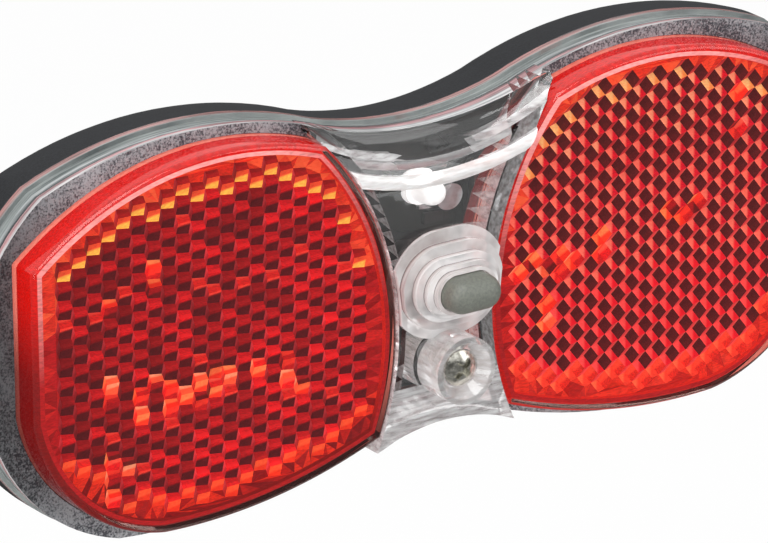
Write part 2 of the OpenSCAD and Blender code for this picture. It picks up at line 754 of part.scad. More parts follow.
// hexagon bolt whose head is held in the shell, with a shoulder that fills the hole
module carrier_bolt() translate([0, -bolt_drop, 0]) {
  translate([0, 0, bolt_seat_h]) cylinder(r = bolt_flats / 2 / cos(30), h = bolt_head_t, $fn = 6);
  cylinder(r = bolt_r + shoulder, h = bolt_seat_h + 0.1);
  translate([0, 0, chamfer - bolt_out]) cylinder(r = bolt_r, h = bolt_out - chamfer + 0.1);
  translate([0, 0, -bolt_out]) cylinder(r1 = bolt_r - chamfer, r2 = bolt_r, h = chamfer);
}

module mount_bolt_left() color([0.7, 0.7, 0.72]) place()
  translate([-bolt_pitch / 2, 0, 0]) carrier_bolt();
module mount_bolt_right() color([0.7, 0.7, 0.72]) place()
  translate([bolt_pitch / 2, 0, 0]) carrier_bolt();

rear_housing();
front_cover();
reflector_left();
reflector_right();
switch_button();
switch_plunger();
switch_body();
circuit_board();
led_lamp();
led_leads();
driver_chip();
resistor();
capacitor();
battery_left();
battery_right();
spring_contact_left();
spring_contact_right();
plate_contact_left();
plate_contact_right();
cover_screw();
board_screw_left();
board_screw_right();
mount_bolt_left();
mount_bolt_right();
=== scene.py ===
"""Rear light for a bicycle carrier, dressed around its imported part.

The lamp has a black back shell, a glass-clear cover, two red caps with hexagonal prism fields,
an oval push button in a stepped hill and a cross-head screw in a clear cup.

Sizes are in millimetres and heights count from the flat back face, with the front facing up:
x runs along the lamp, y up its height and h forward. FRONT_UP turns them into the row frame.
"""

import logging
import math
import random
from dataclasses import dataclass, field
from enum import Enum
from typing import Iterable, Sequence

import bmesh
import bpy
from mathutils import Matrix, Vector


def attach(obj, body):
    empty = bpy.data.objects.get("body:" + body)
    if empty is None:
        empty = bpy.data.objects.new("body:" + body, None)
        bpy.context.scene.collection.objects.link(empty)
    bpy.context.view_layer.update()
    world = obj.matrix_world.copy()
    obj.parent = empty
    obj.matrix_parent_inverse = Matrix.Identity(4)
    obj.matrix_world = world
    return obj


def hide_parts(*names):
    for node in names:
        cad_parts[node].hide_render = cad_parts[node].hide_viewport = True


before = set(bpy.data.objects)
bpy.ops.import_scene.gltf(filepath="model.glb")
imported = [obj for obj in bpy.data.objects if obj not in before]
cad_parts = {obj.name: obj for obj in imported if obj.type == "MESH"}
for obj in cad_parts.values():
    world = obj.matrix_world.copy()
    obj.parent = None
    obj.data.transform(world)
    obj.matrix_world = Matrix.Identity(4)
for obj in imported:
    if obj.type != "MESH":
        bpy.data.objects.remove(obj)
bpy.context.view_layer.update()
log = logging.getLogger("rear_light")

MM = 0.001
BOLT_DROP = 8.0
FRONT_UP = Matrix(((MM, 0, 0, 0), (0, 0, -MM, 0), (0, MM, 0, BOLT_DROP * MM), (0, 0, 0, 1)))
RIM_H = 12.0
LEDGE_H = 16.6
LENS_H = 21.0
# corners of a copied mesh nearer than this are one
MERGE_MM = 0.001
PHOTO_SIZE = (768, 543)
# numbers of the colour sockets of a mix node
MIX_A, MIX_B, MIX_OUT = 6, 7, 2


class Side(Enum):
    """Left and right reflector, with the sign of x on that side."""

    LEFT = -1
    RIGHT = 1


class Facet(Enum):
    """The three faces of a cube corner, named for the way they look; their colours are painted light and
    shade.
    """

    OPEN = "lets the look through to the dark inside"
    MIRROR = "throws light back"
    EDGE = "seen almost from the side"


class Zone(Enum):
    """Parts of the moulded cover that differ in surface; all but the clear and frosted ones carry painted
    light.
    """

    CLEAR = "polished"
    HILL = "terraces round the button"
    MILKY = "thick wall of the screw cup"
    BRIGHT = "bead of the lip, which gathers light"
    PALE = "end walls of the nose, seen against the light"
    FROSTED = "eroded ledge round the caps"
    SKIRT = "skirt with the lines of its steps"


# colour and node helpers

def linear(code: str) -> tuple[float, float, float, float]:
    """Turn an sRGB hex colour into linear values.

    Args:
        code: six hex digits, such as "c8141e".

    Returns:
        Linear red, green and blue, and 1 for alpha.
    """
    parts = [int(code[k:k + 2], 16) / 255 for k in (0, 2, 4)]
    r, g, b = (c / 12.92 if c <= 0.04045 else ((c + 0.055) / 1.055) ** 2.4 for c in parts)
    return r, g, b, 1.0


def paint(code: str) -> Vector:
    """Turn an sRGB hex colour into the vector that a colour layer takes.

    Args:
        code: six hex digits.

    Returns:
        Linear colour with alpha.
    """
    return Vector(linear(code))


def add(tree: bpy.types.NodeTree, kind: str, settings: dict | None = None,
        inputs: dict | None = None, links: dict | None = None) -> bpy.types.Node:
    """Add one node to a tree.

    Args:
        tree: the node tree.
        kind: Blender's name of the node type.
        settings: properties to set on the node.
        inputs: values of sockets, by name or number.
        links: source (node, output name or number) of sockets, by name or number.

    Returns:
        The new node.
    """
    node = tree.nodes.new(kind)
    for key, value in (settings or {}).items():
        setattr(node, key, value)
    for key, value in (inputs or {}).items():
        node.inputs[key].default_value = value
    for key, (source, output) in (links or {}).items():
        tree.links.new(source.outputs[output], node.inputs[key])
    return node


def ramp(tree: bpy.types.NodeTree, source: tuple, points: Sequence[tuple[float, str]]) -> bpy.types.Node:
    """Add a colour ramp.

    Args:
        tree: the node tree.
        source: source of the place on the ramp.
        points: position and sRGB hex colour of each stop.

    Returns:
        The ramp node.
    """
    node = add(tree, "ShaderNodeValToRGB", links={"Fac": source})
    elements = node.color_ramp.elements
    while len(elements) < len(points):
        elements.new(0.5)
    for element, (place, code) in zip(elements, points):
        element.position, element.color = place, linear(code)
    return node


def axes(tree: bpy.types.NodeTree, kind: str = "Object") -> bpy.types.Node:
    """Add coordinates split into X, Y and Z.

    Args:
        tree: the node tree.
        kind: which coordinates.

    Returns:
        The node with the outputs X, Y and Z.
    """
    place = add(tree, "ShaderNodeTexCoord")
    return add(tree, "ShaderNodeSeparateXYZ", links={"Vector": (place, kind)})


def mix(tree: bpy.types.NodeTree, share: tuple, a: tuple, b: tuple) -> bpy.types.Node:
    """Mix two linked colours.

    Args:
        tree: the node tree.
        share: source of the share of the second colour.
        a: source of the first colour.
        b: source of the second colour.

    Returns:
        The mix node, whose colour is its output MIX_OUT.
    """
    return add(tree, "ShaderNodeMix", settings={"data_type": "RGBA"},
               links={0: share, MIX_A: a, MIX_B: b})


def times(tree: bpy.types.NodeTree, a: tuple, b: tuple) -> bpy.types.Node:
    """Multiply two linked colours.

    Args:
        tree: the node tree.
        a: source of the first colour.
        b: source of the second colour.

    Returns:
        The mix node, whose colour is its output MIX_OUT.
    """
    return add(tree, "ShaderNodeMix", settings={"data_type": "RGBA", "blend_type": "MULTIPLY"},
               inputs={0: 1.0}, links={MIX_A: a, MIX_B: b})


@dataclass(frozen=True)
class Finish:
    """A surface of the lamp: what it is made of and how it was made.

    The base class mixes two close tones by noise and adds a fine relief. Rough, gloss, metal and
    clear are shares from 0 to 1, and the glow share is a painted glow: emission in the surface's own
    colour, standing for the light that comes back from inside.
    """

    name: str
    tone: str
    tone_2: str
    rough: float = 0.4
    rough_2: float = 0.5
    metal: float = 0.0
    grain_mm: float = 0.5
    relief_mm: float = 0.01
    ior: float = 1.5
    gloss: float = 0.5
    clear: float = 0.0
    painted_glow: float = 0.0
    stretch: tuple[float, float, float] = (1, 1, 1)

    def build(self) -> bpy.types.Material:
        """Make the material.

        Returns:
            The new material.
        """
        material = bpy.data.materials.new(self.name)
        material.use_nodes = True
        tree = material.node_tree
        tree.nodes.clear()
        out = add(tree, "ShaderNodeOutputMaterial")
        surface = self.shade(tree)
        tree.links.new(surface.outputs["BSDF"], out.inputs["Surface"])
        return material

    def grain(self, tree: bpy.types.NodeTree, size_mm: float, detail: float = 3.0,
              stretch: tuple[float, float, float] = (1, 1, 1)) -> bpy.types.Node:
        """Add noise of a real grain size on Object coordinates.

        Args:
            tree: the material's tree.
            size_mm: width of one grain in millimetres.
            detail: octaves of the noise.
            stretch: how many times longer a grain is along each axis.

        Returns:
            The noise node.
        """
        place = add(tree, "ShaderNodeTexCoord")
        scaled = add(tree, "ShaderNodeMapping", inputs={"Scale": tuple(1 / k for k in stretch)},
                     links={"Vector": (place, "Object")})
        return add(tree, "ShaderNodeTexNoise", inputs={"Scale": 1 / (size_mm * MM), "Detail": detail},
                   links={"Vector": (scaled, "Vector")})

    def surface(self, tree: bpy.types.NodeTree, colour: tuple, noise: bpy.types.Node) -> bpy.types.Node:
        """Add the surface shader with its relief.

        Args:
            tree: the material's tree.
            colour: source of the base colour.
            noise: noise that varies roughness and relief.

        Returns:
            The surface node.
        """
        rough = add(tree, "ShaderNodeMapRange", inputs={"To Min": self.rough, "To Max": self.rough_2},
                    links={"Value": (noise, "Fac")})
        bump = add(tree, "ShaderNodeBump", inputs={"Distance": self.relief_mm * MM, "Strength": 1.0},
                   links={"Height": (noise, "Fac")})
        links = {"Base Color": colour, "Roughness": (rough, "Result"), "Normal": (bump, "Normal")}
        # painted glow: emission in the surface's own colour
        if self.painted_glow:
            links["Emission Color"] = colour
        return add(tree, "ShaderNodeBsdfPrincipled",
                   inputs={"Metallic": self.metal, "IOR": self.ior, "Specular IOR Level": self.gloss,
                           "Transmission Weight": self.clear, "Emission Strength": self.painted_glow},
                   links=links)

    def shade(self, tree: bpy.types.NodeTree) -> bpy.types.Node:
        """Build the surface from two tones.

        Args:
            tree: the material's tree.

        Returns:
            The surface node.
        """
        noise = self.grain(tree, self.grain_mm, 3.0, self.stretch)
        tones = ramp(tree, (noise, "Fac"), [(0.35, self.tone), (0.65, self.tone_2)])
        return self.surface(tree, (tones, "Color"), noise)


@dataclass(frozen=True)
class PrismFinish(Finish):
    """Faces that carry two colours and the line where they change, under fine drawn streaks.

    The streaks are the tool marks of the prism pins, which run level on every face. Cube
    corners send light back to where it came from, so the two colours are painted light and shade,
    and the faces also carry a painted glow in their own colour.
    """

    def shade(self, tree: bpy.types.NodeTree) -> bpy.types.Node:
        """Build the surface from the painted light and shade that the mesh carries as colours.

        Args:
            tree: the material's tree.

        Returns:
            The surface node.
        """
        near, far, split = (add(tree, "ShaderNodeAttribute", settings={"attribute_name": name})
                            for name in ("near", "far", "split"))
        step = add(tree, "ShaderNodeMapRange", inputs={"From Min": 0.42, "From Max": 0.58},
                   links={"Value": (split, "Fac")})
        tint = mix(tree, (step, "Result"), (near, "Color"), (far, "Color"))
        noise = self.grain(tree, self.grain_mm, 3.0, (4, 1, 1))
        marks = ramp(tree, (noise, "Fac"), [(0.36, self.tone), (0.62, self.tone_2)])
        drawn = times(tree, (tint, MIX_OUT), (marks, "Color"))
        return self.surface(tree, (drawn, MIX_OUT), noise)


@dataclass(frozen=True)
class LinedFinish(Finish):
    """Stepped clear plastic, whose steps draw pink, grey, dark and white lines along it.

    The lines are painted reflections and shade: the steps seen through the plastic's own edge,
    with the red of the caps in them. They are laid by height above the back face and broken up by
    long flow streaks.
    """

    lines: tuple[tuple[float, str], ...] = ()
    waver_mm: float = 0.35

    def shade(self, tree: bpy.types.NodeTree) -> bpy.types.Node:
        """Build the lined surface.

        Args:
            tree: the material's tree.

        Returns:
            The surface node.
        """
        waver = self.grain(tree, self.grain_mm, 2.0, (12, 1, 12))
        shift = add(tree, "ShaderNodeMapRange",
                    inputs={"To Min": -self.waver_mm * MM, "To Max": self.waver_mm * MM},
                    links={"Value": (waver, "Fac")})
        height = add(tree, "ShaderNodeMath", settings={"operation": "ADD"},
                     links={0: (axes(tree), "Y"), 1: (shift, "Result")})
        low, high = self.lines[0][0], self.lines[-1][0]
        level = add(tree, "ShaderNodeMapRange", inputs={"From Min": -low * MM, "From Max": -high * MM},
                    links={"Value": (height, "Value")})
        lined = ramp(tree, (level, "Result"), [((h - low) / (high - low), code) for h, code in self.lines])
        streak = self.grain(tree, self.grain_mm, 4.0, (25, 1, 25))
        marks = ramp(tree, (streak, "Fac"), [(0.3, self.tone), (0.7, self.tone_2)])
        drawn = times(tree, (lined, "Color"), (marks, "Color"))
        return self.surface(tree, (drawn, MIX_OUT), streak)


@dataclass(frozen=True)
class FrostFinish(Finish):
    """Eroded ledge of the cover: dark and light specks over soft blotches, dim at the lamp's ends."""

    blotch_mm: float = 5.0
    # where along the lamp the ledge starts to dim, where it is dimmest, and what is left there
    dim_from: float = 46.0
    dim_to: float = 57.0
    dimmest: float = 0.3

    def shade(self, tree: bpy.types.NodeTree) -> bpy.types.Node:
        """Build the speckled surface.

        Args:
            tree: the material's tree.

        Returns:
            The surface node.
        """
        fine = self.grain(tree, self.grain_mm, 5.0)
        wide = self.grain(tree, self.blotch_mm, 2.0)
        both = add(tree, "ShaderNodeMath", settings={"operation": "MULTIPLY_ADD"}, inputs={1: 0.45},
                   links={0: (wide, "Fac"), 2: (fine, "Fac")})
        tones = ramp(tree, (both, "Value"), [(0.6, self.tone), (0.84, self.tone_2)])
        out = add(tree, "ShaderNodeMath", settings={"operation": "ABSOLUTE"}, links={0: (axes(tree), "X")})
        end = add(tree, "ShaderNodeMapRange", inputs={"From Min": self.dim_from * MM,
                                                      "From Max": self.dim_to * MM,
                                                      "To Min": 1.0, "To Max": self.dimmest},
                  links={"Value": (out, "Value")})
        dark = add(tree, "ShaderNodeCombineColor", links={k: (end, "Result") for k in range(3)})
        shaded = times(tree, (tones, "Color"), (dark, "Color"))
        return self.surface(tree, (shaded, MIX_OUT), fine)


# outline geometry

Arc = tuple[float, float, float, int]


def meet(a: Arc, b: Arc, hint: tuple[float, float]) -> tuple[float, float]:
    """Find where two outline circles meet.

    Args:
        a: first circle as x, y, radius and turning sense.
        b: second circle.
        hint: a point near the wanted crossing.

    Returns:
        The crossing nearest the hint, or the point between them if they only touch.
    """
    dx, dy = b[0] - a[0], b[1] - a[1]
    d = math.hypot(dx, dy)
    along = (a[2] ** 2 - b[2] ** 2 + d * d) / (2 * d)
    off = math.sqrt(max(a[2] ** 2 - along ** 2, 0.0))
    x, y = a[0] + dx * along / d, a[1] + dy * along / d
    found = [(x - dy * off / d, y + dx * off / d), (x + dy * off / d, y - dx * off / d)]
    return min(found, key=lambda p: math.hypot(p[0] - hint[0], p[1] - hint[1]))


def walk(arcs: Sequence[Arc], corners: Sequence[tuple[float, float]],
         counts: Sequence[int]) -> list[tuple[float, float]]:
    """Sample arcs that follow each other, from corner to corner.

    Args:
        arcs: circles as x, y, radius and turning sense (1 anticlockwise, -1 clockwise).
        corners: start of each arc and the end of the last.
        counts: points on each arc, its end left out.

    Returns:
        Points along the chain, the last corner left out.
    """
    points = []
    for (x, y, r, sense), start, end, count in zip(arcs, corners, corners[1:], counts):
        a0 = math.atan2(start[1] - y, start[0] - x)
        turn = math.atan2(end[1] - y, end[0] - x) - a0
        while turn * sense < 0:
            turn += sense * 2 * math.pi
        points += [(x + r * math.cos(a0 + turn * k / count), y + r * math.sin(a0 + turn * k / count))
                   for k in range(count)]
    return points


@dataclass(frozen=True)
class LensOutline:
    """Outline circles of the left reflector cap."""

    top: tuple[float, float, float] = (-30.2, -17.65, 40.0)
    low: tuple[float, float, float] = (-35.0, 47.6, 70.0)
    inner: tuple[float, float, float] = (-42.7, -4.5, 36.0)
    corner: tuple[float, float, float] = (-36.0, -2.2, 20.3)
    end_x: float = -56.0

    def points(self, grow: float) -> list[tuple[float, float]]:
        """Sample the outline, anticlockwise, grown outward.

        Args:
            grow: outward offset in millimetres.

        Returns:
            The same number of points for every offset.
        """
        top, low, inner, corner = (
            (c[0], c[1], c[2] + grow, 1) for c in (self.top, self.low, self.inner, self.corner))
        edge = self.end_x - grow
        right_top = meet(inner, top, (-12, 18))
        left_top = (edge, top[1] + math.sqrt(top[2] ** 2 - (edge - top[0]) ** 2))
        left_low = (edge, corner[1] - math.sqrt(max(corner[2] ** 2 - (edge - corner[0]) ** 2, 0.01)))
        corner_end = meet(corner, low, (-37, -22.4))
        right_low = meet(low, inner, (-13, -19))
        side = [(edge, left_top[1] + (left_low[1] - left_top[1]) * k / 20) for k in range(20)]
        return (walk([inner, top], [right_low, right_top, left_top], [40, 44]) + side
                + walk([corner, low], [left_low, corner_end, right_low], [26, 24]))

    def inside(self, x: float, y: float, margin: float) -> bool:
        """Say whether a point of the left cap lies inside its outline by a margin.

        Args:
            x: place along the cap.
            y: height on it.
            margin: least distance from the edge.

        Returns:
            True if it lies inside.
        """
        def within(c: tuple[float, float, float]) -> bool:
            """Say whether the point is inside one circle by the margin.

            Args:
                c: the circle's middle and radius.

            Returns:
                True if it is.
            """
            return math.hypot(x - c[0], y - c[1]) < c[2] - margin
        rounded = x > self.corner[0] or y > self.corner[1] or within(self.corner)
        return (x > self.end_x + margin and within(self.top) and within(self.low)
                and within(self.inner) and rounded)


def finish_mesh(bm: bmesh.types.BMesh, name: str, place: Matrix, mirrored: bool = False,
                smooth_deg: float = 35.0) -> bpy.types.Object:
    """Turn a front-up bmesh into an object whose place is in its mesh.

    Args:
        bm: the mesh in millimetres, freed afterwards.
        name: name of the piece.
        place: matrix into the row frame.
        mirrored: whether x changes sign first.
        smooth_deg: faces that meet at less than this are shaded smooth.

    Returns:
        The new object at the origin.
    """
    if mirrored:
        bmesh.ops.scale(bm, vec=(-1, 1, 1), verts=bm.verts)
        bmesh.ops.reverse_faces(bm, faces=bm.faces)
    bmesh.ops.transform(bm, matrix=place, verts=bm.verts)
    for edge in bm.edges:
        edge.smooth = len(edge.link_faces) == 2 and edge.calc_face_angle(3.0) < math.radians(smooth_deg)
    for face in bm.faces:
        face.smooth = True
    mesh = bpy.data.meshes.new(name)
    bm.to_mesh(mesh)
    bm.free()
    piece = bpy.data.objects.new(name, mesh)
    bpy.context.scene.collection.objects.link(piece)
    return piece


def copy_of(node: bpy.types.Object) -> bmesh.types.BMesh:
    """Copy a node's mesh into the row frame and merge its doubles.

    Args:
        node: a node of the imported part, which stays as it is.

    Returns:
        The merged copy.
    """
    bm = bmesh.new()
    bm.from_mesh(node.data)
    bmesh.ops.transform(bm, matrix=node.matrix_world, verts=bm.verts)
    bmesh.ops.remove_doubles(bm, verts=bm.verts, dist=MERGE_MM * MM)
    return bm


def ring(bm: bmesh.types.BMesh, points: Iterable[tuple[float, float]], h: float) -> list:
    """Make a closed ring of edges at one height.

    Args:
        bm: the mesh.
        points: flat points in order.
        h: height of the ring.

    Returns:
        The ring's edges in order.
    """
    verts = [bm.verts.new((x, y, h)) for x, y in points]
    return [bm.edges.new((a, b)) for a, b in zip(verts, verts[1:] + verts[:1])]


def bridge(bm: bmesh.types.BMesh, rings: Sequence[list]) -> list:
    """Join each ring to the next with a band of faces.

    Args:
        bm: the mesh.
        rings: rings of edges, in order.

    Returns:
        The new faces.
    """
    faces = []
    for a, b in zip(rings, rings[1:]):
        faces += bmesh.ops.bridge_loops(bm, edges=a + b)["faces"]
    return faces


@dataclass(frozen=True)
class Tints:
    """Colours of one prism face: at its near end, at its far end, and where they change."""

    near: str
    far: str
    change: float = 0.5

    def dimmed(self, share: float) -> "Tints":
        """Scale both colours in sRGB.

        Args:
            share: what is left of each.

        Returns:
            The new pair.
        """
        def scale(code: str) -> str:
            """Scale one colour.

            Args:
                code: six hex digits.

            Returns:
                The scaled colour's hex digits.
            """
            return "".join(f"{min(255, round(int(code[k:k + 2], 16) * share)):02x}" for k in (0, 2, 4))
        return Tints(scale(self.near), scale(self.far), self.change)


@dataclass(frozen=True)
class Patch:
    """A round or slanted stretch of the field whose prisms are lit or out of true."""

    x: float
    y: float
    half: float
    slope: float = 0.0
    length: float = 0.0
    odds: float = 0.6

    def holds(self, x: float, y: float) -> bool:
        """Say whether a point of the field lies in the patch.

        Args:
            x: place along the cap.
            y: height on it.

        Returns:
            True if it does.
        """
        across = abs(y - self.y - self.slope * (x - self.x))
        along = abs(x - self.x)
        return across < self.half if self.length and along < self.length else (
            not self.length and math.hypot(along, across) < self.half)


@dataclass
class Reflector:
    """One red cap: clear red skin with a rounded front edge, and the prism core inside it.

    Both are closed solids. The core's faces carry painted light and shade as their colours,
    because each cube corner has one face that lets the look through to the dark inside and two
    that throw light back.
    """

    side: Side
    skin_finish: bpy.types.Material
    core_finish: bpy.types.Material
    outline: LensOutline = field(default_factory=LensOutline)
    foot_h: float = 15.8
    edge_round: float = 0.7
    wall: float = 1.5
    prism_w: float = 2.3
    border: float = 1.5
    start: tuple[float, float] = (-31.3, 0.4)
    # middle of the left cap, from which the light on its edge is told
    middle: tuple[float, float] = (-31.0, -1.0)
    # how far the deepest point of a prism looks shifted along the cap on the left one
    lean: float = -0.25
    patches: tuple[Patch, ...] = ()

    def name(self, part: str) -> str:
        """Name a piece of this cap.

        Args:
            part: what piece it is.

        Returns:
            The whole name.
        """
        return f"reflector_{self.side.name.lower()}_{part}"

    def skin(self) -> bpy.types.Object:
        """Build the outer skin with its rounded front edge.

        Returns:
            The skin.
        """
        bm = bmesh.new()
        steps = 6
        profile = [(0.0, self.foot_h), (0.0, LENS_H - self.edge_round)]
        for k in range(1, steps + 1):
            turn = k / steps * math.pi / 2
            profile.append((self.edge_round * (math.cos(turn) - 1),
                            LENS_H + self.edge_round * (math.sin(turn) - 1)))
        rings = [ring(bm, self.outline.points(grow), h) for grow, h in profile]
        bridge(bm, rings)
        bmesh.ops.contextual_create(bm, geom=rings[-1])
        bmesh.ops.contextual_create(bm, geom=rings[0])
        bmesh.ops.recalc_face_normals(bm, faces=bm.faces)
        piece = finish_mesh(bm, self.name("skin"), FRONT_UP, self.side is Side.RIGHT)
        piece.data.materials.append(self.skin_finish)
        return piece

    def cells(self) -> list[tuple[int, int, float, float]]:
        """List the lattice cells that lie whole inside the border.

        Returns:
            Column, row and middle of each cell.
        """
        s = self.prism_w / math.sqrt(3)
        found = []
        for i in range(-13, 14):
            for j in range(-11, 12):
                x = self.start[0] + 1.5 * s * i
                y = self.start[1] + self.prism_w * (j + (i % 2) / 2)
                corners = [(x + s * math.cos(math.radians(60 * k)), y + s * math.sin(math.radians(60 * k)))
                           for k in range(6)]
                if all(self.outline.inside(cx, cy, self.border) for cx, cy in corners):
                    found.append((i, j, x, y))
        return found

    def tints_of(self, x: float, y: float, top: bool, low: bool, dice: random.Random) -> dict[Facet, Tints]:
        """Pick the colours of the three faces of a prism, which are painted light and shade.

        Args:
            x: place of the cell along the cap.
            y: its height on the cap.
            top: whether no cell lies above it.
            low: whether no cell lies under it.
            dice: seeded source of small differences.

        Returns:
            Colours by face.
        """
        left = self.side is Side.LEFT
        rise = (y + 22) / 44
        odd = any(patch.holds(x, y) and dice.random() < patch.odds for patch in self.patches)
        if odd:
            picks = [Tints("ffb488", "ff6a44", 0.35), Tints("ff7a48", "f03420"), Tints("f04030", "c01c20"),
                     Tints("ff6450", "e02024", 0.35), Tints("a01820", "601418"), Tints("ff9a5c", "ff4428")]
            return {facet: dice.choice(picks) for facet in Facet}
        if left:
            # painted light: the left cap's prisms turn brighter to the right and towards the foot
            glow = 0.8 + 0.25 * (x + 56) / 50 + 0.16 * (1 - rise) + dice.uniform(-0.2, 0.2)
            mirror = Tints("b8161f", "cc2228", 0.6).dimmed(glow)
            if dice.random() < 0.07:
                mirror = Tints("f04a3c", "e02a26", 0.3)
            found = {Facet.MIRROR: mirror, Facet.EDGE: Tints("b83840", "a02028").dimmed(glow),
                     Facet.OPEN: Tints(mirror.near, "54141a", 0.22)}
            # painted light in the top row, where light comes in through the top wall
            if top:
                found[Facet.OPEN] = Tints("f0603a", "ffd75c", 0.45)
                found[Facet.MIRROR] = Tints("8e1218", "a41a20")
            if low:
                found[Facet.OPEN] = Tints("ff6a3c", "f04022", 0.5)
            return found
        # painted light: the upper part of the right cap takes warmer, lit colours
        warm = min(max((y - 2) / 16, 0), 1)
        near = "ffb088" if warm > 0.6 and dice.random() < 0.8 else "ff8470" if rise > 0.4 else "ff5c5c"
        found = {Facet.MIRROR: Tints(near, "dc1430" if rise > 0.45 else "f0162e", 0.52),
                 Facet.EDGE: Tints("b02c34", "c83a3c") if warm > 0.3 else Tints("d84248", "e85a54"),
                 Facet.OPEN: Tints("4c171b", "561a1e")}
        if top and dice.random() < 0.6:
            found[Facet.MIRROR] = Tints("ffd48a", "ffa85a", 0.6)
        if low:
            found[Facet.OPEN] = Tints("f0553a", "d83024", 0.5)
            found[Facet.MIRROR] = Tints("ff7a50", "f04a34", 0.4)
        return found

    def prisms(self, bm: bmesh.types.BMesh) -> None:
        """Add the prism field with its colours to the core.

        Args:
            bm: the core's mesh, with the colour layers near, far and split.
        """
        near, far = (bm.loops.layers.float_color[key] for key in ("near", "far"))
        split = bm.loops.layers.float["split"]
        left = self.side is Side.LEFT
        # the thirds of a cell in turn, and the way their colours run across a face
        thirds = ((Facet.MIRROR, Facet.EDGE, Facet.OPEN) if left else (Facet.EDGE, Facet.OPEN, Facet.MIRROR))
        way = Vector((0.25, -1)) if left else Vector((-0.75, -0.65))
        s = self.prism_w / math.sqrt(3)
        drop = s / math.sqrt(2)
        valley = LENS_H - self.wall - 0.3
        heights = (valley - drop, valley)
        sixth = Matrix.Rotation(math.radians(30), 4, "Z")
        dice = random.Random(11 if left else 29)
        cells = self.cells()
        known = {(i, j) for i, j, _, _ in cells}
        for i, j, x, y in cells:
            made = bmesh.ops.create_circle(bm, cap_ends=True, cap_tris=True, segments=6, radius=s,
                                           matrix=Matrix.Translation((x, y, 0)) @ sixth)["verts"]
            middle = min(made, key=lambda v: math.hypot(v.co.x - x, v.co.y - y))
            for v in made:
                if v is not middle:
                    turn = round(math.degrees(math.atan2(v.co.y - y, v.co.x - x)) / 60) % 6
                    v.co.z = heights[turn % 2]
            tints = self.tints_of(x, y, (i, j + 1) not in known, (i, j - 1) not in known, dice)
            groups: dict[Facet, list] = {facet: [] for facet in Facet}
            for f in {f for v in made for f in v.link_faces}:
                c = f.calc_center_median()
                groups[thirds[int((math.degrees(math.atan2(c.y - y, c.x - x)) % 360) // 120)]].append(f)
            middle.co = (x, y + (self.lean if left else 0), valley - 2 * drop)
            for facet, faces in groups.items():
                runs = [v.co.xy @ way for f in faces for v in f.verts]
                low_run, high_run = min(runs), max(runs)
                pick = tints[facet]
                for loop in (loop for f in faces for loop in f.loops):
                    loop[near], loop[far] = paint(pick.near), paint(pick.far)
                    share = (loop.vert.co.xy @ way - low_run) / (high_run - low_run)
                    loop[split] = share - pick.change + 0.5
        bmesh.ops.remove_doubles(bm, verts=bm.verts, dist=0.01)

    def border_tint(self, x: float, y: float, dice: random.Random) -> str:
        """Pick the colour of a border face by where it lies, with painted light along the top and painted
        shade at the left cap's foot.

        Args:
            x: place along the cap.
            y: height on it.
            dice: seeded source of small differences.

        Returns:
            The colour as six hex digits.
        """
        if y > 4:
            return dice.choice(("e84c30", "d83a24", "f0643c", "cc3020"))
        if y < -11:
            return dice.choice(("8c1014", "b01a14", "d8301c", "7a0c10", "a01614") if self.side is Side.LEFT
                               else ("d8301c", "c42820", "e03826", "b01a14"))
        return dice.choice(("b0161c", "961014", "c42220"))

    def core(self) -> bpy.types.Object:
        """Build the red core: wall with painted shade, painted highlight strip, border and prism field in one
        closed solid.

        Returns:
            The core.
        """
        bm = bmesh.new()
        near, far = (bm.loops.layers.float_color.new(key) for key in ("near", "far"))
        split = bm.loops.layers.float.new("split")
        self.prisms(bm)
        dice = random.Random(5)
        field_rim = [e for e in bm.edges if e.is_boundary]
        done = set(bm.faces)
        under = LENS_H - self.wall
        # outward offset and height of each ring: up the wall, over the strip and down to the field
        levels = [(-0.75, self.foot_h + 0.1), (-0.75, LEDGE_H + 0.02), (-0.75, LEDGE_H + 0.25),
                  (-0.75, LEDGE_H + 0.5), (-0.75, LENS_H - 1.3), (-0.95, LENS_H - 0.95),
                  (-1.45, LENS_H - 0.9), (-1.6, under - 0.25)]
        rings = [ring(bm, self.outline.points(grow), h) for grow, h in levels]
        # colour of each band between two rings; the strip band is a painted highlight, and the wall bands
        # take painted shade on the left cap
        bands = ["ffa090", "f09080", "c8120a", "d01006", "c4140e", "strip", "d0261a"]
        for code, faces in zip(bands, (bridge(bm, pair) for pair in zip(rings, rings[1:]))):
            for f in faces:
                done.add(f)
                for loop in f.loops:
                    place = loop.vert.co
                    tone = self.strip_tint(place) if code == "strip" else self.wall_tint(place, code)
                    loop[near], loop[far], loop[split] = tone, tone, 0.0
        bmesh.ops.triangle_fill(bm, edges=field_rim + rings[-1], use_beauty=True, normal=(0, 0, 1))
        bmesh.ops.contextual_create(bm, geom=rings[0])
        for f in sorted(set(bm.faces) - done, key=lambda f: tuple(f.calc_center_median())):
            c = f.calc_center_median()
            tone = paint(self.border_tint(c.x, c.y, dice))
            for loop in f.loops:
                loop[near], loop[far], loop[split] = tone, tone, 0.0
        bmesh.ops.recalc_face_normals(bm, faces=bm.faces)
        open_edges = sum(len(e.link_faces) != 2 for e in bm.edges)
        log.info("%s: %d open edges", self.name("core"), open_edges)
        piece = finish_mesh(bm, self.name("core"), FRONT_UP, self.side is Side.RIGHT, 5.0)
        piece.data.materials.append(self.core_finish)
        return piece

    def wall_tint(self, place: Vector, code: str) -> Vector:
        """Find the colour of the wall, with painted shade at the left cap's left and foot.

        Args:
            place: point of the wall in the front-up drawing.
            code: its colour where light falls on it, as six hex digits.

        Returns:
            Linear paint.
        """
        if self.side is Side.RIGHT:
            return paint(code)
        x, y = place.x - self.middle[0], place.y - self.middle[1]
        lit = min(max((y + 0.35 * x + 8) / 9, 0), 1)
